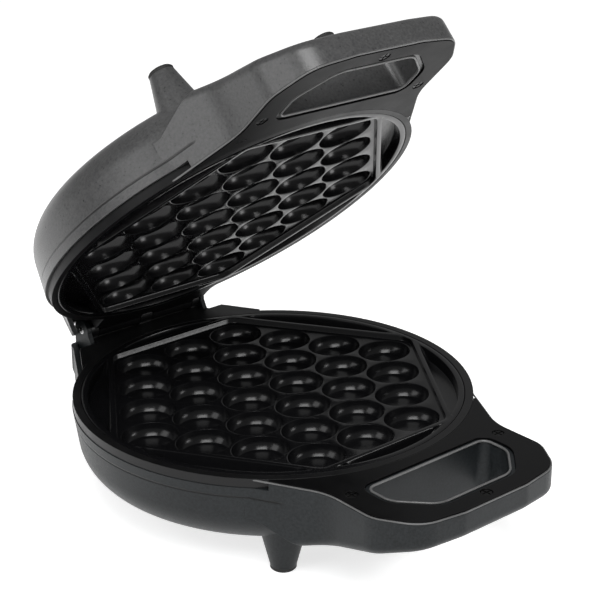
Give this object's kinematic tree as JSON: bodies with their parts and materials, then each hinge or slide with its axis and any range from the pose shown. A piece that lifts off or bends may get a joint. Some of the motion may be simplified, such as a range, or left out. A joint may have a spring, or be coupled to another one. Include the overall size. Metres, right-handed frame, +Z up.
{
  "type": "bubble waffle maker",
  "caption": "Electric bubble waffle maker, lid standing half open on a rear hinge, with egg-pocket plates and front handles.",
  "frame": {"origin": "middle of the bounding box's underside, on the floor plane under the four feet, with the lid as in the picture", "axes": "+Z up; -Y towards the front handles; +X to the machine's right, along the hinge pin; left and right mirror across x = 0"},
  "size_m": [0.2038, 0.2852, 0.2549],
  "materials": {
    "shell_plastic": "fine matte texture",
    "dark_plastic": "satin",
    "coated_casting": "dark non-stick coating",
    "foot_rubber": "matte",
    "screw_steel": "blackened",
    "element_steel": "heat-stained",
    "reflector_sheet": "mill",
    "control_plastic": "moulded",
    "block_plastic": "moulded",
    "pin_steel": "ground",
    "lens_red": "clear tinted",
    "lens_green": "clear tinted",
    "board": "laminate"
  },
  "bodies": {
    "base": {"base_shell": "shell_plastic", "base_surround": "dark_plastic", "base_handle_cover": "dark_plastic", "base_foot_pads": "foot_rubber", "base_cover_screws": "screw_steel", "lower_plate": "coated_casting", "lower_heating_element": "element_steel", "lower_reflector": "reflector_sheet", "lower_plate_screws": "screw_steel", "thermostat": "control_plastic", "thermal_fuse": "element_steel", "terminal_block": "block_plastic", "cord_gland": "dark_plastic", "hinge_pin": "pin_steel"},
    "lid": {"lid_shell": "shell_plastic", "lid_surround": "dark_plastic", "lid_handle_cover": "dark_plastic", "lid_foot_pads": "foot_rubber", "lid_cover_screws": "screw_steel", "upper_plate": "coated_casting", "upper_heating_element": "element_steel", "upper_reflector": "reflector_sheet", "upper_plate_screws": "screw_steel", "power_lens": "lens_red", "ready_lens": "lens_green", "lamp_board": "board"}
  },
  "joints": [
    {"name": "lid_hinge", "type": "hinge", "parent": "base", "child": "lid", "pos_m": [0, 0.1286, 0.0609], "axis": [-1, 0, 0], "range_deg": [-44.1, 50]}
  ]
}
